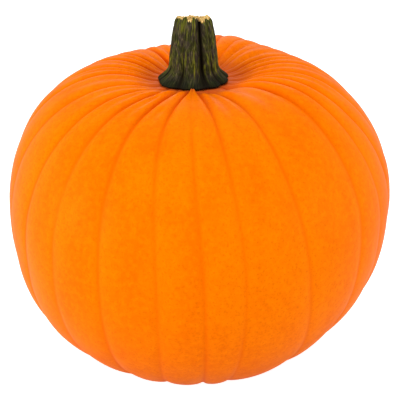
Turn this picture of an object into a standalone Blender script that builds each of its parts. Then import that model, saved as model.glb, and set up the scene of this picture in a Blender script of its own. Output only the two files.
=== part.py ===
# A carving pumpkin with its dry stem, standing upright on the flat of its base.
# Metres, +Z up. The origin is the middle of the base, on the surface that it stands on. Its front is -Y.
# A bearing is an angle round the fruit in degrees: 0 is the front, and +90 is +X.
# A polar angle runs down the side: 0 at the stem, a quarter turn at the widest level.

import math
import random

import bmesh
import bpy

# Fruit: a ball squashed above and below its widest level, each half a superellipse
RADIUS = 0.140
SHOULDER_HEIGHT = 0.1142
SHOULDER_FULLNESS = 2.18
BELLY_DEPTH = 0.1251
BELLY_FULLNESS = 2.27
REST_DEPTH = 0.118
REST_BLEND = 0.002
OVALNESS = 0.022
OVAL_BEARING = -37.0

# Crown: the dimple round the stem, a little left of the middle, with a flat seat for the stem
DIMPLE_DEPTH = 0.0252
DIMPLE_WIDTH = 0.047
CROWN_SHIFT = -0.0055
CROWN_SPREAD = 0.063
SEAT_HEIGHT = 0.0925
SEAT_BLEND = 0.0008
SEAT_RADIUS = 0.021
SEAM_END_RADIUS = 0.034

# Swells and hollows of uneven growth: bearing, its spread, polar angle, its spread (all in degrees) and height
SWELLS = (
    (168, 24, 27, 16, 0.0064),
    (85, 50, 28, 18, 0.0033),
    (-105, 46, 52, 22, 0.0043),
    (78, 42, 128, 26, -0.0049),
    (-60, 40, 125, 26, 0.0008),
)
SWELL_END_RADII = (0.026, 0.045)

# Blossom end: a small basin in the middle of the base
BASIN_DEPTH = 0.011
BASIN_WIDTH = 0.020

# Seams between the ribs at the front and sides: bearing, lean and bow in degrees, then how deep the seam is at
# the widest level and at the stem, as shares of the usual depth
SEAMS = (
    (-70, 1, 3, 0.8, 1.0),
    (-57.5, -4, -1, 1.0, 0.9),
    (-42.5, -0.5, 0.5, 1.0, 1.0),
    (-28, 0.5, -2.5, 1.1, 1.2),
    (-13.5, 1, -6, 1.0, 1.1),
    (-0.5, 2.5, -3.5, 1.0, 0.3),
    (10, 1.5, -4.5, 1.0, 1.1),
    (31, 7, 1, 0.9, 1.2),
    (51, -1, -1.5, 1.1, 1.2),
    (64, 1, -2, 0.7, 0.8),
    (77.5, 4.5, -3.5, 1.2, 1.3),
    (89, 2.5, -2, 1.0, 1.1),
)
BOW_LEVEL = 0.35

# Seams round the back follow a rule, with a little scatter
BACK_SEAMS = 12
BACK_SCATTER = 2.2
BACK_LEAN = 2.5
BACK_DEPTHS = (0.8, 1.2)
BACK_SEED = 31

# Depth of the seams at the widest level, and what is added towards the stem and towards the base
SEAM_DEPTH = 0.0016
CROWN_DEEPENING = 0.0042
BASE_DEEPENING = 0.0030
BASE_SEAM_RADII = (0.030, 0.055)
CREASE_WIDTH = 0.09
CREASE_SHARE = 0.45

# Short folds that start at the stem and fade on the shoulder, along the middle of each broad rib
FOLD_DEPTH = 0.0024
FOLD_WIDTH = 0.16
FOLD_RADIUS = 0.052
FOLD_REACH = 0.034
FOLD_LEAST_RIB = 12.0

# Where the fruit's points lie: across each rib, and from pole to pole with more of them at both ends
RIB_STATIONS = (0.0, 0.10, 0.30, 0.50, 0.70, 0.90)
RINGS = 34
POLE_CROWDING = 0.30

# Stem
STEM_LENGTH = 0.0440
STEM_RADIUS = 0.0178
STEM_TAPER = 0.0053
FOOT_FLARE = 0.0081
FOOT_REACH = 0.15
FOOT_TUCK = 0.24
FOOT_TUCK_REACH = 0.06
CUT_ROUNDING = 0.08
CUT_ROUNDING_FROM = 0.93
CUT_DISH = 0.0012
CUT_RAGGED = 0.0009
CUT_SEED = 7
GAP = 0.0003

# Furrows between the stem's ridges: bearing, depth at the cut and depth at the foot
STEM_FURROWS = (
    (-112, 0.0012, 0.0030),
    (-68, 0.0010, 0.0026),
    (-27, 0.0009, 0.0030),
    (12, 0.0034, 0.0040),
    (45, 0.0010, 0.0032),
    (87, 0.0014, 0.0030),
    (132, 0.0012, 0.0028),
    (176, 0.0020, 0.0034),
    (212, 0.0011, 0.0028),
)
RIDGE_STATIONS = (0.0, 0.14, 0.38, 0.62, 0.86)
STEM_LEVELS = (0.0, 0.04, 0.08, 0.12, 0.18, 0.26, 0.36, 0.48, 0.60, 0.72, 0.83, 0.92, 0.97, 1.0)

SKIN_ORANGE = (0.92, 0.215, 0.008, 1.0)
STEM_GREEN = (0.050, 0.058, 0.020, 1.0)


def smooth_step(value, low, high):
    share = min(max((value - low) / (high - low), 0.0), 1.0)
    return share * share * (3.0 - 2.0 * share)


def bell(value, width):
    return math.exp(-((value / width) ** 2))


def rounded_max(first, second, blend):
    # The larger of the two, with the corner between them rounded off over the blend
    overlap = max(blend - abs(first - second), 0.0) / blend
    return max(first, second) + overlap * overlap * blend / 4.0


def all_seams():
    # The listed seams, then evenly spread ones round the back with the same five values
    draw = random.Random(BACK_SEED)
    first, last = SEAMS[0][0] + 360.0, SEAMS[-1][0]
    step = (first - last) / (BACK_SEAMS + 1)
    seams = list(SEAMS)
    for number in range(1, BACK_SEAMS + 1):
        bearing = last + number * step + draw.uniform(-BACK_SCATTER, BACK_SCATTER)
        lean = draw.uniform(-BACK_LEAN, BACK_LEAN)
        bow = draw.uniform(-BACK_LEAN, BACK_LEAN)
        seams.append((bearing, lean, bow, draw.uniform(*BACK_DEPTHS), draw.uniform(*BACK_DEPTHS)))
    return seams


def seam_bearing(seam, polar):
    bearing, lean, bow = seam[:3]
    return bearing - lean * math.cos(polar) + bow * (math.cos(polar) ** 2 - BOW_LEVEL)


def outline(polar):
    # Distance from the axis and height above the widest level, before the seams are pressed in
    rise, reach = math.cos(polar), math.sin(polar)
    if rise >= 0.0:
        fullness, height = SHOULDER_FULLNESS, SHOULDER_HEIGHT
    else:
        fullness, height = BELLY_FULLNESS, BELLY_DEPTH
    radius = RADIUS * abs(reach) ** (2.0 / fullness)
    level = math.copysign(height * abs(rise) ** (2.0 / fullness), rise)
    if rise < 0.0:
        return radius, level + BASIN_DEPTH * bell(radius, BASIN_WIDTH)
    level -= DIMPLE_DEPTH * bell(radius, DIMPLE_WIDTH)
    if radius < DIMPLE_WIDTH / 2.0:
        level = rounded_max(level, SEAT_HEIGHT, SEAT_BLEND)
    return radius, level


def outline_normal(polar):
    # Which way the outline faces, outward from the axis and upward
    step = 0.002
    before = outline(max(polar - step, 0.0))
    after = outline(min(polar + step, math.pi))
    along = (after[0] - before[0], after[1] - before[1])
    length = math.hypot(*along)
    return -along[1] / length, along[0] / length


def swell(bearing, polar):
    # How far the skin stands out of the even form here
    stand = 0.0
    for at_bearing, bearing_spread, at_polar, polar_spread, height in SWELLS:
        turned = (bearing - at_bearing + 180.0) % 360.0 - 180.0
        stand += height * bell(turned, bearing_spread) * bell(polar - at_polar, polar_spread)
    return stand


def seam_depth(seam, inward, upper):
    # Depth of a seam, which grows from the widest level towards the stem and the base
    if not upper:
        return seam[3] * (SEAM_DEPTH + inward * BASE_DEEPENING)
    crown = smooth_step(inward, 0.0, 0.6)
    share = seam[3] + (seam[4] - seam[3]) * crown
    return share * (SEAM_DEPTH + inward * CROWN_DEEPENING)


def groove(distance):
    # A crease at the seam with a soft round beside it; distance is a share of the rib's width
    return CREASE_SHARE * math.exp(-distance / CREASE_WIDTH) + (1.0 - CREASE_SHARE) * (1.0 - distance) ** 4


def fruit_point(polar, rib, share, seams):
    # The point at this polar angle, and at this share of the way across a rib
    left, right = seams[rib], seams[(rib + 1) % len(seams)]
    left_bearing, right_bearing = seam_bearing(left, polar), seam_bearing(right, polar)
    if rib == len(seams) - 1:
        right_bearing += 360.0
    bearing = left_bearing + share * (right_bearing - left_bearing)

    radius, level = outline(polar)
    across, up = outline_normal(polar)
    inward = 1.0 - radius / RADIUS
    upper = polar < math.pi / 2
    press = seam_depth(left, inward, upper) * groove(share) + seam_depth(right, inward, upper) * groove(1.0 - share)
    if upper:
        if right_bearing - left_bearing > FOLD_LEAST_RIB:
            press += FOLD_DEPTH * bell(share - 0.5, FOLD_WIDTH) * bell(radius - FOLD_RADIUS, FOLD_REACH)
        press *= smooth_step(radius, SEAT_RADIUS, SEAM_END_RADIUS)
        stand = swell(bearing, math.degrees(polar)) * smooth_step(radius, *SWELL_END_RADII) - press
        shift = CROWN_SHIFT * bell(radius, CROWN_SPREAD)
    else:
        stand = (swell(bearing, math.degrees(polar)) - press) * smooth_step(radius, *BASE_SEAM_RADII)
        shift = 0.0
    radius += stand * across
    level = rounded_max(level + stand * up, -REST_DEPTH, REST_BLEND)

    radius *= 1.0 + OVALNESS * math.cos(2.0 * math.radians(bearing - OVAL_BEARING))
    turn = math.radians(bearing)
    return radius * math.sin(turn) + shift, -radius * math.cos(turn), level + REST_DEPTH


def make_fruit(collection):
    seams = all_seams()
    stations = len(RIB_STATIONS)
    segments = len(seams) * stations
    shape = bmesh.new()
    bmesh.ops.create_uvsphere(shape, u_segments=segments, v_segments=RINGS, radius=1.0)
    for vertex in shape.verts:
        x, y, z = vertex.co
        polar = math.acos(min(max(z, -1.0), 1.0))
        polar -= POLE_CROWDING * math.sin(2.0 * polar)
        turn = math.atan2(x, -y) % math.tau
        place = round(turn / math.tau * segments) % segments
        vertex.co = fruit_point(polar, place // stations, RIB_STATIONS[place % stations], seams)
    return add_object("fruit", shape, collection, (0.0, 0.0, 0.0))


def stem_radius(share):
    # Distance of the ridges from the stem's axis, at a share of the way up
    radius = STEM_RADIUS - STEM_TAPER * share**2 + FOOT_FLARE * bell(share, FOOT_REACH)
    if share < FOOT_TUCK_REACH:
        radius *= 1.0 - FOOT_TUCK * (1.0 - share / FOOT_TUCK_REACH) ** 2
    if share > CUT_ROUNDING_FROM:
        radius *= 1.0 - CUT_ROUNDING * ((share - CUT_ROUNDING_FROM) / (1.0 - CUT_ROUNDING_FROM)) ** 2
    return radius


def stem_ring(share, lifts):
    # One closed ring of points round the stem, as ridges with a furrow at each end
    points = []
    for number, furrow in enumerate(STEM_FURROWS):
        following = STEM_FURROWS[(number + 1) % len(STEM_FURROWS)]
        width = (following[0] - furrow[0]) % 360.0
        left = furrow[1] + (furrow[2] - furrow[1]) * (1.0 - share) ** 2
        right = following[1] + (following[2] - following[1]) * (1.0 - share) ** 2
        for station in RIDGE_STATIONS:
            bearing = math.radians(furrow[0] + station * width)
            press = left * (1.0 - station) ** 5 + right * station**5
            radius = stem_radius(share) - press
            lift = lifts[len(points)] if share == 1.0 else 0.0
            points.append((radius * math.sin(bearing), -radius * math.cos(bearing), share * STEM_LENGTH + lift))
    return points


def make_stem(collection):
    # A loft of ridged rings, closed by a fan at the foot and at the ragged cut
    draw = random.Random(CUT_SEED)
    count = len(STEM_FURROWS) * len(RIDGE_STATIONS)
    lifts = [draw.uniform(-CUT_RAGGED, CUT_RAGGED) for _ in range(count)]
    shape = bmesh.new()
    rings = [[shape.verts.new(point) for point in stem_ring(share, lifts)] for share in STEM_LEVELS]
    for lower, upper in zip(rings, rings[1:]):
        for here in range(count):
            there = (here + 1) % count
            shape.faces.new((lower[here], lower[there], upper[there], upper[here]))
    foot = shape.verts.new((0.0, 0.0, 0.0))
    cut = shape.verts.new((0.0, 0.0, STEM_LENGTH - CUT_DISH))
    for here in range(count):
        there = (here + 1) % count
        shape.faces.new((rings[0][there], rings[0][here], foot))
        shape.faces.new((rings[-1][here], rings[-1][there], cut))
    return add_object("stem", shape, collection, (CROWN_SHIFT, 0.0, REST_DEPTH + SEAT_HEIGHT + GAP))


def add_object(name, shape, collection, place):
    bmesh.ops.recalc_face_normals(shape, faces=shape.faces)
    mesh = bpy.data.meshes.new(name)
    shape.to_mesh(mesh)
    shape.free()
    mesh.shade_smooth()
    mesh.set_sharp_from_angle(angle=math.radians(50.0))
    part = bpy.data.objects.new(name, mesh)
    part.location = place
    collection.objects.link(part)
    return part


def paint(part, name, colour, roughness):
    material = bpy.data.materials.new(name)
    material.use_nodes = True
    shader = material.node_tree.nodes["Principled BSDF"]
    shader.inputs["Base Color"].default_value = colour
    shader.inputs["Roughness"].default_value = roughness
    shader.inputs["Metallic"].default_value = 0.0
    part.data.materials.append(material)


def build():
    for part in list(bpy.data.objects):
        bpy.data.objects.remove(part, do_unlink=True)
    collection = bpy.data.collections.new("Pumpkin")
    bpy.context.scene.collection.children.link(collection)
    paint(make_fruit(collection), "Pumpkin skin", SKIN_ORANGE, 0.38)
    paint(make_stem(collection), "Dry stem", STEM_GREEN, 0.80)


build()
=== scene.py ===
# The looks of a carving pumpkin with its dry stem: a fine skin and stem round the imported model, materials,
# a floor and lights.
import math
import random

import bpy
import numpy as np
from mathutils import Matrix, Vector, noise


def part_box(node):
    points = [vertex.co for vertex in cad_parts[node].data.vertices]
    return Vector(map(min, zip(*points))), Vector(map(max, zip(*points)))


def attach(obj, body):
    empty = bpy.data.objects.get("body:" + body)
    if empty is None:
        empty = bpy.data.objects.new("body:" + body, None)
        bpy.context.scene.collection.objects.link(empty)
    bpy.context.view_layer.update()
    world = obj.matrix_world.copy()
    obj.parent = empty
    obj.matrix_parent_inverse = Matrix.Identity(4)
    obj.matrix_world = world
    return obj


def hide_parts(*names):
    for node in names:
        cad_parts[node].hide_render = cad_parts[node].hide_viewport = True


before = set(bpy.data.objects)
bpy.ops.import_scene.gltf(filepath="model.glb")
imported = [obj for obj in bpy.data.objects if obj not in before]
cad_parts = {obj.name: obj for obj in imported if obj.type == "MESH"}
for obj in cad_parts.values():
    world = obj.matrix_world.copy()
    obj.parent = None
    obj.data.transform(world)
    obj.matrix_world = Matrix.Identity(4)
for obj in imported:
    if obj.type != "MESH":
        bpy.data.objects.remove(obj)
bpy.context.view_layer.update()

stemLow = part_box("stem")[0]
scene = bpy.context.scene
mm = 0.001
metre = 1000.0  # in millimetres
farOff = 500.0  # a distance that no tint reaches
print("frame loaded:", sorted(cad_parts))


# Lengths below are millimetres and angles degrees. A bearing of 0 is the front of the pumpkin, and +90 is the
# right side as seen from the front. A polar angle runs down the side: 0 at the stem, 90 at the widest level,
# 180 under the base.

def bell(value, width):
    return np.exp(-((value / width) ** 2))


def smoothStep(value, low, high):
    share = np.clip((value - low) / (high - low), 0.0, 1.0)
    return share * share * (3.0 - 2.0 * share)


def roundedMax(first, second, blend):
    overlap = np.maximum(blend - np.abs(first - second), 0.0) / blend
    return np.maximum(first, second) + overlap * overlap * blend / 4.0


def turnedFrom(bearing, centre):  # the shorter way round from the centre, in degrees
    return (bearing - centre + 180.0) % 360.0 - 180.0


# Soft noise from -1 to 1 at these places, with lumps about this big
def lumps(places, size, octaves, seed):
    seedStep = (17.3, -9.1, 5.7)  # how far one seed's noise lies from the next
    fading, finerBy = 1.0, 2.0  # each octave is half as big and half as high as the one before it
    shift = Vector([step * seed for step in seedStep])
    scaled = (Vector(place) / size + shift for place in places.reshape(-1, 3).tolist())
    heights = [noise.fractal(place, fading, finerBy, octaves) for place in scaled]
    return np.array(heights).reshape(places.shape[:-1])


# Fruit

fruit = {
    "radius": 140.0,
    "shoulderHeight": 114.2, "shoulderFullness": 2.18,
    "bellyDepth": 125.1, "bellyFullness": 2.27,
    "restDepth": 118.0, "restBlend": 2.0,
    "ovalness": 0.022, "ovalBearing": -37.0,
    "dimpleDepth": 25.2, "dimpleWidth": 47.0,  # the hollow round the stem
    "crownShift": -5.5, "crownSpread": 63.0,  # the stem stands a little left of the middle
    "seatHeight": 92.5, "seatBlend": 0.8, "seatRadius": 21.0, "seamEndRadius": 34.0,
    "basinDepth": 11.0, "basinWidth": 20.0,  # the hollow of the blossom end
    "seamDepth": 1.6, "crownDeepening": 8.0, "baseDeepening": 3.0,
    "stemShareFrom": 0.6,  # from this far in, a seam has the depth share that it has at the stem
    "baseSeamRadii": (30.0, 55.0),
    # The sharp crease at the bottom of a seam, and the round of the ribs beside it
    "creaseWidth": 0.075, "creaseShare": 0.22, "creaseRounding": 0.05, "ribRounding": 4,
    "bowLevel": 0.35,
    "foldDepth": 2.4, "foldWidth": 0.16, "foldRadius": 52.0, "foldReach": 34.0, "foldLeastRib": 12.0,
    "swellEndRadii": (26.0, 45.0),
    "footEdge": 27.0, "gatherReach": 40.0,  # the stem's foot, and how far from it the seams start to turn
    "backSeams": 12, "backScatter": 2.2, "backLean": 2.5, "backDepths": (0.8, 1.2), "backSeed": 31,
    # The shoulder at the back right is nearly even
    "evenShare": 0.85, "evenBearing": 142.0, "evenSpread": 30.0,
    "stationsPerRib": 20, "stationCrowding": 0.75, "rings": 198, "poleCrowding": 0.30,
    "waveSize": 38.0, "waveHeight": 0.35,  # slow unevenness of a grown skin
    "dentSize": 11.0, "dentHeight": 0.07,
    "unevenDepth": 100.0,  # the skin gets even from this far under the widest level down to the base
}

# Seams at the front and sides: bearing, lean, bow, depth share at the widest level and at the stem, and how
# far the seam turns where it meets the stem
frontSeams = [
    (-70, 1, 3, 1.0, 1.2, 7),
    (-57.5, -4, -1, 1.15, 1.2, 10),
    (-42.5, -0.5, 0.5, 0.75, 1.2, 13),
    (-28, 0.5, -2.5, 1.0, 1.2, 13),
    (-13.5, 1, -6, 0.75, 0.8, 11),
    (-0.5, 2.5, -3.5, 0.9, 0.1, 1.2),
    (10, 1.5, -4.5, 0.75, 0.8, -4.5),
    (31, 7, 1, 0.95, 1.15, -5),
    (51, -1, -1.5, 0.95, 1.2, 0),
    (64, 1, -2, 0.7, 0.8, 0),
    (77.5, 4.5, -3.5, 1.2, 1.3, 0),
    (89, 2.5, -2, 1.0, 1.1, 0),
]

# Lobes that bulge round the stem: bearing and its spread, distance from its axis and its spread, height
crownLobes = [
    (-4, 7, 31, 9, 2.0),
    (-13, 5, 47, 14, 1.3),
    (10, 6, 44, 13, 0.9),
    (29, 6, 48, 15, 0.8),
    (45, 6, 50, 15, 0.8),
    (-24, 5, 48, 15, 1.6),
    (-38, 6, 50, 16, 1.3),
]

# Uneven growth: bearing and its spread, polar angle and its spread, height
swells = [
    (168, 24, 27, 16, 6.4),
    (85, 50, 28, 18, 3.3),
    (-105, 46, 52, 22, 4.3),
    (78, 42, 128, 26, -4.9),
    (-60, 40, 125, 26, 0.8),
]


def allSeams():
    draw = random.Random(fruit["backSeed"])
    first, last = frontSeams[0][0] + 360.0, frontSeams[-1][0]
    step = (first - last) / (fruit["backSeams"] + 1)
    scatter, lean = fruit["backScatter"], fruit["backLean"]
    seams = list(frontSeams)
    for number in range(1, fruit["backSeams"] + 1):
        bearing = last + number * step + draw.uniform(-scatter, scatter)
        leans = [draw.uniform(-lean, lean) for _ in range(2)]
        depths = [draw.uniform(*fruit["backDepths"]) for _ in range(2)]
        depths[1] *= 1.0 - fruit["evenShare"] * bell(bearing - fruit["evenBearing"], fruit["evenSpread"])
        seams.append((bearing, *leans, *depths, 0.0))
    return np.array(seams, float)


def fruitOutline(polar):  # distance from the axis, and height over the widest level, of the even form
    rise, reach = np.cos(polar), np.abs(np.sin(polar))
    upper = rise >= 0.0
    fullness = np.where(upper, fruit["shoulderFullness"], fruit["bellyFullness"])
    height = np.where(upper, fruit["shoulderHeight"], fruit["bellyDepth"])
    radius = fruit["radius"] * reach ** (2.0 / fullness)
    level = np.sign(rise) * height * np.abs(rise) ** (2.0 / fullness)
    crown = level - fruit["dimpleDepth"] * bell(radius, fruit["dimpleWidth"])
    seated = roundedMax(crown, fruit["seatHeight"], fruit["seatBlend"])
    crown = np.where(radius < fruit["dimpleWidth"] / 2.0, seated, crown)
    base = level + fruit["basinDepth"] * bell(radius, fruit["basinWidth"])
    return radius, np.where(upper, crown, base)


def outlineFacing(polar):  # which way the even form faces: outward and upward
    step = 0.002
    before = fruitOutline(np.maximum(polar - step, 0.0))
    after = fruitOutline(np.minimum(polar + step, math.pi))
    out, up = after[0] - before[0], after[1] - before[1]
    length = np.hypot(out, up)
    return -up / length, out / length


def seamBearing(seams, polar, atStem):
    rise = np.cos(polar)
    bowed = seams[:, 0] - seams[:, 1] * rise + seams[:, 2] * (rise ** 2 - fruit["bowLevel"])
    return bowed + seams[:, 5] * atStem


# A crease with a soft round beside it; share is the distance from the seam over the rib's width
def groove(share):
    crease, rounding = fruit["creaseShare"], fruit["creaseRounding"]
    away = np.hypot(share, rounding) - rounding
    soft = np.maximum(1.0 - away, 0.0) ** fruit["ribRounding"]
    return crease * bell(share, fruit["creaseWidth"]) + (1.0 - crease) * soft


def seamPress(seams, inward, upper):
    crown = smoothStep(inward, 0.0, fruit["stemShareFrom"])
    crownPress = (seams[:, 3] + (seams[:, 4] - seams[:, 3]) * crown) * (
        fruit["seamDepth"] + inward ** 2 * fruit["crownDeepening"])
    basePress = seams[:, 3] * (fruit["seamDepth"] + inward * fruit["baseDeepening"])
    return np.where(upper, crownPress, basePress)


def raised(bumps, bearing, along):  # how far a list of bumps raises the skin
    stand = 0.0
    for atBearing, bearingSpread, atPlace, placeSpread, height in bumps:
        stand = stand + height * bell(turnedFrom(bearing, atBearing), bearingSpread) * bell(
            along - atPlace, placeSpread)
    return stand


def makeFruit():
    seams = allSeams()
    ribs, stations, rings = len(seams), fruit["stationsPerRib"], fruit["rings"]
    column = np.arange(ribs * stations)
    rib = column // stations
    share = (column % stations) / stations
    share = share - fruit["stationCrowding"] * np.sin(2.0 * math.pi * share) / (2.0 * math.pi)
    polar = (np.arange(1, rings) * math.pi / rings)[:, None]
    polar = polar - fruit["poleCrowding"] * np.sin(2.0 * polar)

    radius, level = fruitOutline(polar)
    out, up = outlineFacing(polar)
    inward = 1.0 - radius / fruit["radius"]
    upper = polar < math.pi / 2.0
    atStem = upper * bell(np.maximum(radius - fruit["footEdge"], 0.0), fruit["gatherReach"])

    left, right = seams[rib], seams[(rib + 1) % ribs]
    leftBearing = seamBearing(left, polar, atStem)
    rightBearing = seamBearing(right, polar, atStem) + 360.0 * (rib == ribs - 1)
    width = rightBearing - leftBearing
    bearing = leftBearing + share * width
    turn = np.radians(bearing)

    # Seams, and a low fold down the middle of each wide rib
    leftPress, rightPress = seamPress(left, inward, upper), seamPress(right, inward, upper)
    press = leftPress * groove(share) + rightPress * groove(1.0 - share)
    fold = fruit["foldDepth"] * bell(share - 0.5, fruit["foldWidth"]) * bell(
        radius - fruit["foldRadius"], fruit["foldReach"])
    press = press + np.where(upper & (width > fruit["foldLeastRib"]), fold, 0.0)

    # Swells and seams end before the stem's seat and the blossom end
    stand = raised(swells, bearing, np.degrees(polar))
    crownStand = stand * smoothStep(radius, *fruit["swellEndRadii"]) - press * smoothStep(
        radius, fruit["seatRadius"], fruit["seamEndRadius"])
    baseStand = (stand - press) * smoothStep(radius, *fruit["baseSeamRadii"])
    stand = np.where(upper, crownStand, baseStand)

    # Slow waves and small dents
    flat = np.stack([np.sin(turn) * radius, -np.cos(turn) * radius, np.broadcast_to(level, turn.shape)], -1)
    uneven = (fruit["waveHeight"] * lumps(flat, fruit["waveSize"], octaves=2, seed=1)
              + fruit["dentHeight"] * lumps(flat, fruit["dentSize"], octaves=2, seed=2))
    uneven *= smoothStep(radius, *fruit["swellEndRadii"])
    uneven *= smoothStep(level, -fruit["restDepth"], -fruit["unevenDepth"])
    lobes = raised(crownLobes, bearing, radius) * smoothStep(radius, fruit["seatRadius"], fruit["footEdge"])
    stand = stand + uneven + upper * lobes

    shift = np.where(upper, fruit["crownShift"] * bell(radius, fruit["crownSpread"]), 0.0)
    fullRadius = (radius + stand * out) * (
        1.0 + fruit["ovalness"] * np.cos(2.0 * np.radians(bearing - fruit["ovalBearing"])))
    height = roundedMax(level + stand * up, -fruit["restDepth"], fruit["restBlend"]) + fruit["restDepth"]
    points = np.stack([fullRadius * np.sin(turn) + shift, -fullRadius * np.cos(turn), height], -1)

    crownEnd, baseEnd = (fruitOutline(np.array(end))[1] + fruit["restDepth"] for end in (0.0, math.pi))
    top, bottom = (fruit["crownShift"], 0.0, crownEnd), (0.0, 0.0, baseEnd)
    corners = np.concatenate([[top], points.reshape(-1, 3), [bottom]])
    piece = addGrid("Pumpkin.fruit", corners, rings - 1, len(column))

    keepPoints(piece, "seamGap", np.minimum(share * width, (1.0 - share) * width) * np.radians(1.0) * radius)
    keepPoints(piece, "seamPress", np.where(share < 0.5, leftPress, rightPress))
    keepPoints(piece, "fromStem", np.broadcast_to(radius + farOff * ~upper, turn.shape))
    keepPoints(piece, "fromBlossom", np.broadcast_to(radius + farOff * upper, turn.shape))
    return piece


# A closed skin over rows of points, with one more point at each end
def addGrid(name, corners, rows, columns):
    sides = [(here, (here + 1) % columns) for here in range(columns)]
    faces = [(0, 1 + a, 1 + b) for a, b in sides]
    for row in range(rows - 1):
        start = 1 + row * columns
        below = start + columns
        faces += [(start + a, below + a, below + b, start + b) for a, b in sides]
    start = 1 + (rows - 1) * columns
    faces += [(start + b, start + a, len(corners) - 1) for a, b in sides]
    mesh = bpy.data.meshes.new(name)
    mesh.from_pydata((corners * mm).tolist(), [], faces)
    mesh.shade_smooth()
    piece = bpy.data.objects.new(name, mesh)
    scene.collection.objects.link(piece)
    return piece


# A number or a place for each point of the rows, which the material reads
def keepPoints(piece, name, values):
    size = values.shape[2:]
    ends = [values[row].mean(axis=0).reshape((1,) + size) for row in (0, -1)]
    flat = np.concatenate([ends[0], values.reshape((-1,) + size), ends[1]]).astype(np.float32)
    attribute = piece.data.attributes.new(name, "FLOAT_VECTOR" if size else "FLOAT", "POINT")
    attribute.data.foreach_set("vector" if size else "value", flat.ravel())


# Stem

stem = {
    "length": 45.2, "radius": 17.8, "taper": 5.3,
    "footFlare": 8.3, "footReach": 0.135, "footTuck": 0.22, "footTuckReach": 0.06,
    # The foot spreads further at the front left
    "footLobe": 2.2, "footLobeBearing": -52, "footLobeSpread": 26,
    "rimDepth": 0.45, "rimHeight": 0.13,  # the furrows get shallow at the rim of the foot
    # The bottoms of the furrows get painted shade
    "bottomNarrowing": 1.6, "bottomDepth": 3.0,  # the darker bottoms of the furrows
    "cutRounding": 0.09, "cutRoundingFrom": 0.92,
    "cutSlant": 1.9, "cutRiseFrom": 0.82,  # the front of the cut stands higher than the back
    "cutRagged": 0.9, "raggedSize": 1.7, "raggedInward": 5,
    # Straw fibre that shows outside, under the broken edge
    "bareRim": 0.9, "bareLeast": 0.25, "bareRagged": 0.9, "bareSize": 1.2, "bareAtNotch": 0.3,
    "cutHollow": 5.0, "cutHollowRadius": 4.5,
    "cutRoughness": 0.9, "cutGrain": 1.5, "cutEdge": 0.1,
    "endBare": 6.0,  # how far above the edge of its skin the whole end counts
    "fibreHeight": 0.42, "fibreSize": 1.7, "fibreRun": 17.0,  # ridges of bark fibre: height, spacing, length
    "wrinkleHeight": 0.35, "wrinkleSize": 4.0, "wrinkleRun": 8.0,
    "columns": 360, "rows": 150, "rowCrowding": 1.15, "cutRows": 22,
}

# Furrows between the ridges: bearing at the cut and at the foot, depth at the cut and at the foot, sharpness
furrows = [
    (-112, -114, 1.2, 3.0, 5),
    (-68, -76, 1.0, 2.4, 5),
    (-27, -25, 0.8, 3.8, 6),
    (21, 25, 4.2, 5.0, 3.5),
    (44, 54, 1.0, 3.2, 5),
    (87, 88, 1.4, 3.0, 5),
    (132, 130, 1.2, 2.8, 5),
    (176, 178, 2.0, 3.4, 5),
    (212, 211, 1.1, 2.8, 5),
]

# Teeth and notches of the broken edge: bearing, spread, height
teeth = [
    (-29, 9, 1.4), (-13, 6, -0.6), (4, 8, 1.0), (30, 9, -1.4), (50, 9, 0.6), (-58, 10, 0.4),
    (92, 12, -1.0), (120, 9, 0.9), (150, 10, -0.8), (190, 9, 0.2), (225, 12, -0.9), (262, 10, 0.8),
]


def stemOutline(share):
    radius = stem["radius"] - stem["taper"] * share ** 2 + stem["footFlare"] * bell(share, stem["footReach"])
    tuck = np.maximum(1.0 - share / stem["footTuckReach"], 0.0)
    radius = radius * (1.0 - stem["footTuck"] * tuck ** 2)
    top = np.maximum((share - stem["cutRoundingFrom"]) / (1.0 - stem["cutRoundingFrom"]), 0.0)
    return radius * (1.0 - stem["cutRounding"] * top ** 2)


# How deep the furrows are pressed in, and the painted shade near their bottoms, from 0 to 1
def furrowPress(bearing, share):
    press, near = 0.0, 0.0
    drop = (1.0 - share) ** 2
    narrowing = stem["bottomNarrowing"]
    for number, (atCut, atFoot, cutDepth, footDepth, sharpness) in enumerate(furrows):
        following = furrows[(number + 1) % len(furrows)]
        start = atCut + (atFoot - atCut) * drop
        end = following[0] + (following[1] - following[0]) * drop
        station = ((bearing - start) % 360.0) / ((end - start) % 360.0)
        inside = station < 1.0
        station = np.clip(station, 0.0, 1.0)
        left = cutDepth + (footDepth - cutDepth) * drop
        right = following[2] + (following[3] - following[2]) * drop
        fromLeft = left * (1.0 - station) ** sharpness
        fromRight = right * station ** following[4]
        press = press + inside * (fromLeft + fromRight)
        bottom = np.maximum(left * (1.0 - station) ** (narrowing * sharpness),
                            right * station ** (narrowing * following[4]))
        near = np.maximum(near, inside * bottom / stem["bottomDepth"])
    return press, np.minimum(near, 1.0)


# The broken end: rings of points from its middle to its edge, their distances from the middle, their grain
def cutEnd(turn, edgeRadius, slant, ragged):
    inner = (np.arange(1, stem["cutRows"]) / stem["cutRows"])[:, None]
    radius = edgeRadius * inner
    grain = np.dstack([radius * np.sin(turn), -radius * np.cos(turn), np.zeros_like(radius)])
    rough = stem["cutRoughness"] * lumps(grain, stem["cutGrain"], octaves=3, seed=8)
    height = (stem["length"] + slant * inner + ragged * inner ** stem["raggedInward"]
              - stem["cutHollow"] * bell(radius, stem["cutHollowRadius"])
              + rough * smoothStep(1.0 - inner, 0.0, stem["cutEdge"]))
    return np.dstack([grain[..., :2], height]), radius, grain


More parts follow.
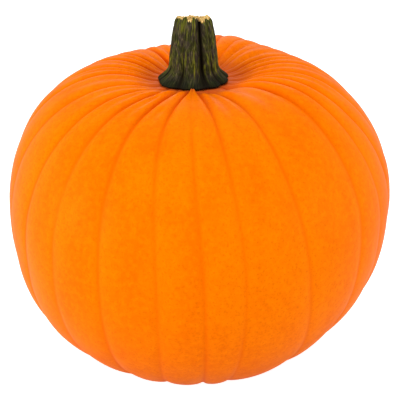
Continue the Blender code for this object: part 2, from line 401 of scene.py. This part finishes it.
def makeStem():
    columns, rows = stem["columns"], stem["rows"]
    bearing = np.arange(columns) * 360.0 / columns - 180.0
    turn = np.radians(bearing)
    share = 1.0 - (np.arange(rows) / (rows - 1))[:, None] ** stem["rowCrowding"]
    around = np.stack([stem["radius"] * np.sin(turn), -stem["radius"] * np.cos(turn)], -1)
    wide = np.broadcast_to(around, (rows, columns, 2))
    up = np.broadcast_to(share * stem["length"], (rows, columns))

    # Bark: furrows, ridges of fibre, wrinkles and the flared foot
    press, furrowShadeMask = furrowPress(bearing, share)
    press = press * (stem["rimDepth"] + (1.0 - stem["rimDepth"]) * smoothStep(share, 0.0, stem["rimHeight"]))
    alongFibres = np.dstack([wide, up * stem["fibreSize"] / stem["fibreRun"]])
    fibres = lumps(alongFibres, stem["fibreSize"], octaves=3, seed=4)
    alongWrinkles = np.dstack([wide, up * stem["wrinkleSize"] / stem["wrinkleRun"]])
    wrinkles = lumps(alongWrinkles, stem["wrinkleSize"], octaves=2, seed=5)
    footLobe = stem["footLobe"] * bell(turnedFrom(bearing, stem["footLobeBearing"]), stem["footLobeSpread"])
    outline = stemOutline(share) + footLobe * bell(share, stem["footReach"])
    radius = outline - press + stem["fibreHeight"] * fibres + stem["wrinkleHeight"] * wrinkles

    # The broken edge, and the straw that it bares
    edge = np.column_stack([around, np.zeros(columns)])
    ragged = stem["cutRagged"] * lumps(edge, stem["raggedSize"], octaves=3, seed=6)
    for atBearing, spread, height in teeth:
        ragged = ragged + height * bell(turnedFrom(bearing, atBearing), spread)
    slant = stem["cutSlant"] * np.cos(turn)
    rise = slant + ragged
    height = up + rise * smoothStep(share, stem["cutRiseFrom"], 1.0)
    sides = np.dstack([radius * np.sin(turn), -radius * np.cos(turn), height])
    bareNoise = stem["bareRagged"] * lumps(edge, stem["bareSize"], octaves=2, seed=7)
    bare = stem["bareRim"] - stem["bareAtNotch"] * ragged + bareNoise
    skinEdge = stem["length"] + rise - np.maximum(bare, stem["bareLeast"])

    end, endRadius, endGrain = cutEnd(turn, radius[0], slant, ragged)
    points = np.concatenate([end, sides])
    axis = (fruit["crownShift"], 0.0, stemLow.z / mm)
    middle = stem["length"] - stem["cutHollow"]
    corners = np.concatenate([[(0.0, 0.0, middle)], points.reshape(-1, 3), [(0.0, 0.0, 0.0)]]) + axis
    piece = addGrid("Pumpkin.stem", corners, len(points), columns)

    onEnd, onSides = np.ones(endRadius.shape), np.ones(radius.shape)
    keepPoints(piece, "aboveSkin", np.concatenate([stem["endBare"] * onEnd, height - skinEdge]))
    keepPoints(piece, "furrowShadeMask", np.concatenate([0.0 * onEnd, furrowShadeMask]))
    keepPoints(piece, "upStem", np.concatenate([onEnd, share * onSides]))
    keepPoints(piece, "toMiddle", np.concatenate([endRadius, farOff * onSides]))
    keepPoints(piece, "alongFibre", np.concatenate([endGrain, np.dstack([wide, up])]))
    return piece


# Materials

def hexToLinear(text):
    channels = [int(text[place:place + 2], 16) / 255.0 for place in (1, 3, 5)]
    return [c / 12.92 if c <= 0.04045 else ((c + 0.055) / 1.055) ** 2.4 for c in channels] + [1.0]


# A setting in small letters is the node's own; the others, and the numbered ones, are its sockets
def addNode(tree, kind, settings, links):
    node = tree.nodes.new("ShaderNode" + kind)
    for name, value in settings.items():
        if isinstance(name, int) or name[0].isupper():
            node.inputs[name].default_value = value
        else:
            setattr(node, name, value)
    for name, source in links.items():
        tree.links.new(source, node.inputs[name])
    return node


def newMaterial(name):
    material = bpy.data.materials.new(name)
    material.use_nodes = True
    material.node_tree.nodes.clear()
    return material, material.node_tree


# Lays tints over a colour, one after the other. Each has its colour, the reading where it starts to show, the
# reading where it is full, and its share there.
def layTints(tree, colour, tints, layers):
    for name, blend, links in layers:
        tint, start, full, share = tints[name]
        amount = addNode(tree, "MapRange", {"interpolation_type": blend, "From Min": start, "From Max": full,
                                            "To Max": share}, links)
        colour = addNode(tree, "Mix", {"data_type": "RGBA", 7: hexToLinear(tint)},
                         {0: amount.outputs[0], 6: colour.outputs[2]})
    return colour


rind = {
    "orange": "#F77600", "deepOrange": "#F16D00", "deepRange": (0.35, 0.65),
    "patchSize": 20.0, "patchLength": 80.0,  # patches of uneven ripening, which run up and down the ribs
    "mottleSize": 3.6,
    "poreSize": 1.5,  # real pores are about 0.3 mm wide, too fine to show, so they are drawn coarser
    "paleSpeck": ("#FF8400", 0.40, 0.78, 0.65),
    "darkSpeck": ("#E25F00", 0.52, 0.72, 0.60),
    # The seam tint is partly redder skin and partly painted shade in the seam's crease
    "seam": ("#EC6200", 1.6, 0.0, 0.75),
    "stemEnd": ("#D65C22", 46.0, 24.0, 1.0),
    "groundSpot": ("#F0A040", 75.0, 30.0, 0.5),
    "scar": ("#7A5A34", 11.0, 8.5, 1.0),
    "seamLine": 1.5, "seamWander": (0.6, 1.5), "wanderRange": (0.35, 0.65), "seamPressRange": (0.3, 2.0),
    "scarFray": 6.0,
    "ior": 1.45, "roughness": (0.29, 0.41),
    "waxTint": "#FF9A18", "waxGlow": 0.03,  # natural wax is thin, so its gloss is faint and warm
    "poreBump": 0.35, "poreDepth": 0.15,
}


def pumpkinRind():
    # A pumpkin's rind: hard skin under a thin natural wax, which gives a satin gloss and soft highlights
    material, tree = newMaterial("Waxed pumpkin rind")
    place = addNode(tree, "TexCoord", {}, {}).outputs["Object"]
    read = {name: addNode(tree, "Attribute", {"attribute_name": name}, {}).outputs["Fac"]
            for name in ("seamGap", "seamPress", "fromStem", "fromBlossom")}

    across, upward = metre / rind["patchSize"], metre / rind["patchLength"]
    upRibs = addNode(tree, "Mapping", {"Scale": (across, across, upward)}, {"Vector": place})
    patches = addNode(tree, "TexNoise", {"Scale": 1.0, "Detail": 2.0}, {"Vector": upRibs.outputs[0]})
    mottle = addNode(tree, "TexNoise", {"Scale": metre / rind["mottleSize"], "Detail": 3.0},
                     {"Vector": place})
    pores = addNode(tree, "TexNoise", {"Scale": metre / rind["poreSize"], "Detail": 2.0}, {"Vector": place})

    start, full = rind["deepRange"]
    deep = addNode(tree, "MapRange", {"From Min": start, "From Max": full}, {"Value": patches.outputs["Fac"]})
    colour = addNode(tree, "Mix", {"data_type": "RGBA", 6: hexToLinear(rind["orange"]),
                                   7: hexToLinear(rind["deepOrange"])}, {0: deep.outputs[0]})

    # The skin is thinner and redder along the seams, and this line also holds painted shade of the crease.
    # It has uneven width and is strongest in the deep seams.
    start, full = rind["wanderRange"]
    least, most = rind["seamWander"]
    wander = addNode(tree, "MapRange", {"From Min": start, "From Max": full, "To Min": least, "To Max": most},
                     {"Value": mottle.outputs["Fac"]})
    reach = addNode(tree, "Math", {"operation": "MULTIPLY", 1: rind["seamLine"]}, {0: wander.outputs[0]})
    away = addNode(tree, "Math", {"operation": "DIVIDE"}, {0: read["seamGap"], 1: reach.outputs[0]})
    start, full = rind["seamPressRange"]
    strength = addNode(tree, "MapRange", {"From Min": start, "From Max": full, "To Max": rind["seam"][3]},
                       {"Value": read["seamPress"]})

    scarEdge = addNode(tree, "Math", {"operation": "MULTIPLY_ADD", 1: rind["scarFray"]},
                       {0: mottle.outputs["Fac"], 2: read["fromBlossom"]})
    colour = layTints(tree, colour, rind, (
        ("paleSpeck", "LINEAR", {"Value": mottle.outputs["Fac"]}),
        ("darkSpeck", "LINEAR", {"Value": pores.outputs["Fac"]}),
        ("seam", "SMOOTHSTEP", {"Value": away.outputs[0], "To Max": strength.outputs[0]}),
        ("stemEnd", "SMOOTHSTEP", {"Value": read["fromStem"]}),
        ("groundSpot", "SMOOTHSTEP", {"Value": read["fromBlossom"]}),
        ("scar", "LINEAR", {"Value": scarEdge.outputs[0]}),
    ))

    smoothest, roughest = rind["roughness"]
    rough = addNode(tree, "MapRange", {"To Min": smoothest, "To Max": roughest},
                    {"Value": patches.outputs["Fac"]})
    bump = addNode(tree, "Bump", {"Strength": rind["poreBump"], "Distance": rind["poreDepth"] * mm},
                   {"Height": pores.outputs["Fac"]})
    shader = addNode(tree, "BsdfPrincipled", {"IOR": rind["ior"], "Specular IOR Level": rind["waxGlow"],
                                              "Specular Tint": hexToLinear(rind["waxTint"])},
                     {"Base Color": colour.outputs[2], "Roughness": rough.outputs[0],
                      "Normal": bump.outputs[0]})
    addNode(tree, "OutputMaterial", {}, {"Surface": shader.outputs[0]})
    return material


bark = {
    "green": "#383A16", "greyBrown": "#423A2C", "brownRange": (0.44, 0.56), "blotchSize": 6.0,
    "paleFibre": ("#66603A", 0.60, 0.74, 1.0),
    "streak": ("#6C7016", 0.52, 0.62, 0.9),
    "foot": ("#20250F", 0.24, 0.08, 0.8),
    "fibreRange": (0.36, 0.60), "fibreShade": (0.3, 1.1),
    # Painted shade: near black in the bottoms of the furrows
    "furrow": ("#120D02", 0.10, 0.70, 0.95),
    # Painted shade: near black round the foot, where the stem meets the fruit
    "footContactShade": ("#120D02", 0.11, 0.02, 0.75),
    "straw": "#F8DC8C", "strawShade": "#C48A42", "strawRange": (0.42, 0.60),
    "strawGap": ("#805428", 0.53, 0.62, 0.8),
    "pith": ("#805428", 6.5, 2.0, 1.0),
    "bareRange": (0.0, 0.35),
    "streakSpacing": 1.5, "streakRun": 13.0,
    "fibreSpacing": 0.7, "fibreRun": 3.5,  # real fibres are 0.2 mm wide, too fine to show, so drawn coarser
    "ior": 1.45, "roughness": 0.78, "gloss": 0.12,
    "fibreBump": 0.7, "fibreDepth": 0.3,
}


def dryStem():
    # A cured pumpkin stem: corky green bark over straw fibre, dry and matt, with streaks along the fibres
    material, tree = newMaterial("Dry corky stem")
    place = addNode(tree, "TexCoord", {}, {}).outputs["Object"]
    read = {name: addNode(tree, "Attribute", {"attribute_name": name}, {})
            for name in ("aboveSkin", "furrowShadeMask", "upStem", "toMiddle", "alongFibre")}
    upStem = read["upStem"].outputs["Fac"]

    grains = []
    for spacing, run in (("streakSpacing", "streakRun"), ("fibreSpacing", "fibreRun")):
        across, along = 1.0 / bark[spacing], 1.0 / bark[run]
        stretched = addNode(tree, "Mapping", {"Scale": (across, across, along)},
                            {"Vector": read["alongFibre"].outputs["Vector"]})
        grain = addNode(tree, "TexNoise", {"Scale": 1.0, "Detail": 2.0}, {"Vector": stretched.outputs[0]})
        grains.append(grain.outputs["Fac"])
    streaks, fibres = grains
    blotches = addNode(tree, "TexNoise", {"Scale": metre / bark["blotchSize"], "Detail": 2.0},
                       {"Vector": place})

    start, full = bark["brownRange"]
    brown = addNode(tree, "MapRange", {"From Min": start, "From Max": full},
                    {"Value": blotches.outputs["Fac"]})
    colour = addNode(tree, "Mix", {"data_type": "RGBA", 6: hexToLinear(bark["green"]),
                                   7: hexToLinear(bark["greyBrown"])}, {0: brown.outputs[0]})
    colour = layTints(tree, colour, bark, (
        ("paleFibre", "LINEAR", {"Value": fibres}),
        ("streak", "LINEAR", {"Value": streaks}),
        ("foot", "SMOOTHSTEP", {"Value": upStem}),
    ))
    start, full = bark["fibreRange"]
    darkest, lightest = bark["fibreShade"]
    shade = addNode(tree, "MapRange", {"From Min": start, "From Max": full, "To Min": darkest,
                                       "To Max": lightest}, {"Value": fibres})
    colour = addNode(tree, "Mix", {"data_type": "RGBA", "blend_type": "MULTIPLY", 0: 1.0},
                     {6: colour.outputs[2], 7: shade.outputs[0]})
    colour = layTints(tree, colour, bark, (
        # Painted shade in the bottoms of the furrows
        ("furrow", "LINEAR", {"Value": read["furrowShadeMask"].outputs["Fac"]}),
        # Painted shade where the stem's foot meets the fruit
        ("footContactShade", "LINEAR", {"Value": upStem}),
    ))

    # Bare straw fibre on the broken end, brown round the pith
    start, full = bark["strawRange"]
    shade = addNode(tree, "MapRange", {"From Min": start, "From Max": full}, {"Value": fibres})
    straw = addNode(tree, "Mix", {"data_type": "RGBA", 6: hexToLinear(bark["straw"]),
                                  7: hexToLinear(bark["strawShade"])}, {0: shade.outputs[0]})
    straw = layTints(tree, straw, bark, (
        ("strawGap", "LINEAR", {"Value": streaks}),
        ("pith", "LINEAR", {"Value": read["toMiddle"].outputs["Fac"]}),
    ))
    start, full = bark["bareRange"]
    bare = addNode(tree, "MapRange", {"From Min": start, "From Max": full},
                   {"Value": read["aboveSkin"].outputs["Fac"]})
    colour = addNode(tree, "Mix", {"data_type": "RGBA"},
                     {0: bare.outputs[0], 6: colour.outputs[2], 7: straw.outputs[2]})

    bump = addNode(tree, "Bump", {"Strength": bark["fibreBump"], "Distance": bark["fibreDepth"] * mm},
                   {"Height": fibres})
    shader = addNode(tree, "BsdfPrincipled", {"IOR": bark["ior"], "Roughness": bark["roughness"],
                                              "Specular IOR Level": bark["gloss"]},
                     {"Base Color": colour.outputs[2], "Normal": bump.outputs[0]})
    addNode(tree, "OutputMaterial", {}, {"Surface": shader.outputs[0]})
    return material


# Studio

studio = {
    "elevation": 26.4, "distance": 700.0, "aim": (-1.2, 0.0, 117.03), "lens": 84.42, "nearClip": 10.0,
    "white": "#FFFFFF", "roomLight": 0.52, "backdropLight": 1.0,
    "softboxSize": 1300.0,
    "floorSize": 8000.0, "floorShade": "#DADADA", "floorRoughness": 0.9, "floorGlow": 0.80,
}

# Softboxes: where each stands, and its power in watts
softboxes = {
    "left": ((-1600.0, -900.0, 400.0), 29.5),
    "right": ((1600.0, -900.0, 400.0), 20.5),
    "top": ((0.0, 0.0, 2000.0), 12.0),
    "back": ((0.0, 1700.0, 1200.0), 7.5),
    "backLeft": ((-1900.0, 300.0, 500.0), 3.0),
    "backRight": ((1900.0, 300.0, 500.0), 2.0),
}


def setCamera():
    rise = math.radians(studio["elevation"])
    reach = studio["distance"] * mm
    camera = bpy.data.objects.new("Camera", bpy.data.cameras.new("Camera"))
    camera.location = (0.0, -reach * math.cos(rise), fruit["restDepth"] * mm + reach * math.sin(rise))
    aim = Vector(studio["aim"]) * mm - camera.location
    camera.rotation_euler = aim.to_track_quat("-Z", "Y").to_euler()
    camera.data.lens = studio["lens"]
    camera.data.clip_start = studio["nearClip"] * mm
    scene.collection.objects.link(camera)
    scene.camera = camera
    scene.view_settings.view_transform = "Standard"


# The room lights the pumpkin softly. It and the floor look overexposed white, as in a catalogue picture
def setRoom():
    white = hexToLinear(studio["white"])
    world = bpy.data.worlds.new("White studio")
    world.use_nodes = True
    tree = world.node_tree
    tree.nodes.clear()
    seen = addNode(tree, "LightPath", {}, {}).outputs["Is Camera Ray"]
    room = addNode(tree, "Background", {"Color": white, "Strength": studio["roomLight"]}, {})
    backdrop = addNode(tree, "Background", {"Color": white, "Strength": studio["backdropLight"]}, {})
    either = addNode(tree, "MixShader", {}, {0: seen, 1: room.outputs[0], 2: backdrop.outputs[0]})
    addNode(tree, "OutputWorld", {}, {"Surface": either.outputs[0]})
    scene.world = world


def setSoftboxes():
    for name, (place, power) in softboxes.items():
        box = bpy.data.objects.new("Softbox." + name, bpy.data.lights.new("Softbox." + name, "AREA"))
        box.data.shape = "SQUARE"
        box.data.size = studio["softboxSize"] * mm
        box.data.energy = power
        box.location = [step * mm for step in place]
        towards = Vector((0.0, 0.0, fruit["restDepth"] * mm)) - box.location
        box.rotation_euler = towards.to_track_quat("-Z", "Y").to_euler()
        scene.collection.objects.link(box)


def whiteAcrylic():
    # Cast acrylic sheet with a ground, matt face: even white, with soft shadows and no mirror image
    material, tree = newMaterial("White acrylic floor")
    seen = addNode(tree, "LightPath", {}, {}).outputs["Is Camera Ray"]
    glow = addNode(tree, "Math", {"operation": "MULTIPLY", 1: studio["floorGlow"]}, {0: seen})
    shader = addNode(tree, "BsdfPrincipled", {"Base Color": hexToLinear(studio["floorShade"]),
                                              "Roughness": studio["floorRoughness"],
                                              "Specular IOR Level": 0.0,
                                              "Emission Color": hexToLinear(studio["white"])},
                     {"Emission Strength": glow.outputs[0]})
    addNode(tree, "OutputMaterial", {}, {"Surface": shader.outputs[0]})
    return material


def layFloor():
    half = studio["floorSize"] * mm / 2.0
    mesh = bpy.data.meshes.new("Floor")
    mesh.from_pydata([(-half, -half, 0.0), (half, -half, 0.0), (half, half, 0.0), (-half, half, 0.0)], [],
                     [(0, 1, 2, 3)])
    mesh.materials.append(whiteAcrylic())
    floor = bpy.data.objects.new("Floor", mesh)
    scene.collection.objects.link(floor)


fruitPiece = makeFruit()
fruitPiece.data.materials.append(pumpkinRind())
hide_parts("fruit")
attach(fruitPiece, "root")
print("fruit made:", len(fruitPiece.data.polygons), "faces")

stemPiece = makeStem()
stemPiece.data.materials.append(dryStem())
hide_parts("stem")
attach(stemPiece, "root")
print("stem made:", len(stemPiece.data.polygons), "faces")

setCamera()
setRoom()
setSoftboxes()
layFloor()
print("studio set")
